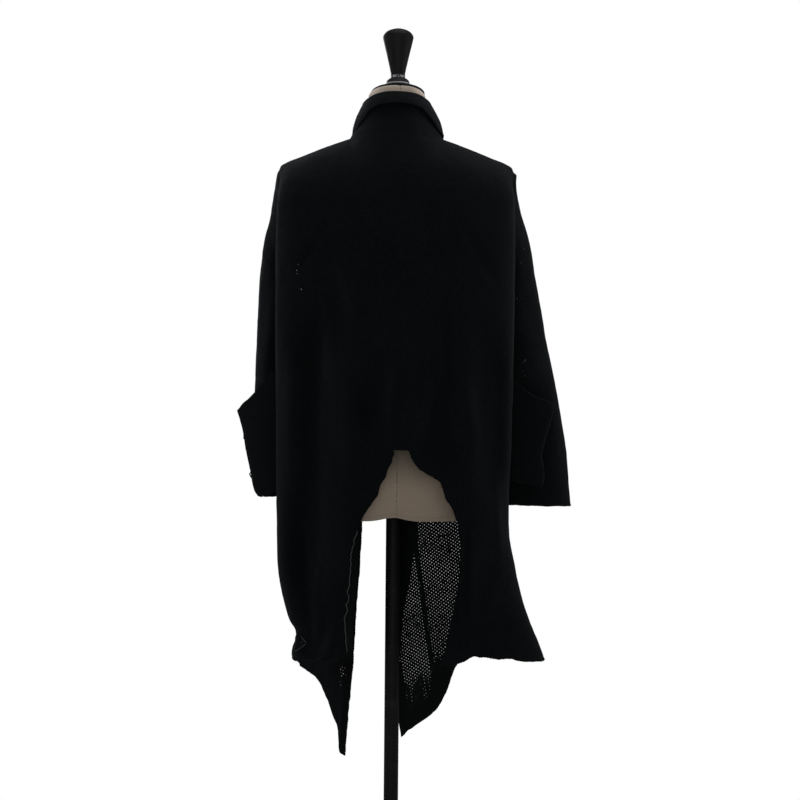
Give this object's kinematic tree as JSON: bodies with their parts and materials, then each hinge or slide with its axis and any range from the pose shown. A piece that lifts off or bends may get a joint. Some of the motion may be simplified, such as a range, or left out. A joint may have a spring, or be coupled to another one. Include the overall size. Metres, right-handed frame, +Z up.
{
  "type": "cardigan on dress form",
  "caption": "Long draped black knit cardigan with an arched back hem, long side tails and hip pockets, worn by a linen dress form on a pole and round foot.",
  "frame": {"origin": "centre of the round foot's underside, below the pole", "axes": "+Z up along the pole, the garment's front faces -Y, +X is the wearer's left"},
  "size_m": [0.6266, 0.32, 1.6106],
  "materials": {
    "knit": "matte open knit",
    "linen": "matte weave",
    "black_wood": "black satin lacquer",
    "black_metal": "black satin paint",
    "steel": "polished"
  },
  "bodies": {
    "root": {"back": "knit", "front_left": "knit", "front_right": "knit", "sleeve_left": "knit", "sleeve_right": "knit", "collar": "knit", "pocket_left": "knit", "pocket_right": "knit", "torso": "linen", "neck_cap": "black_wood", "neck_knob": "black_wood", "neck_ring": "steel", "pole": "black_metal", "base_plate": "black_metal"}
  },
  "joints": []
}
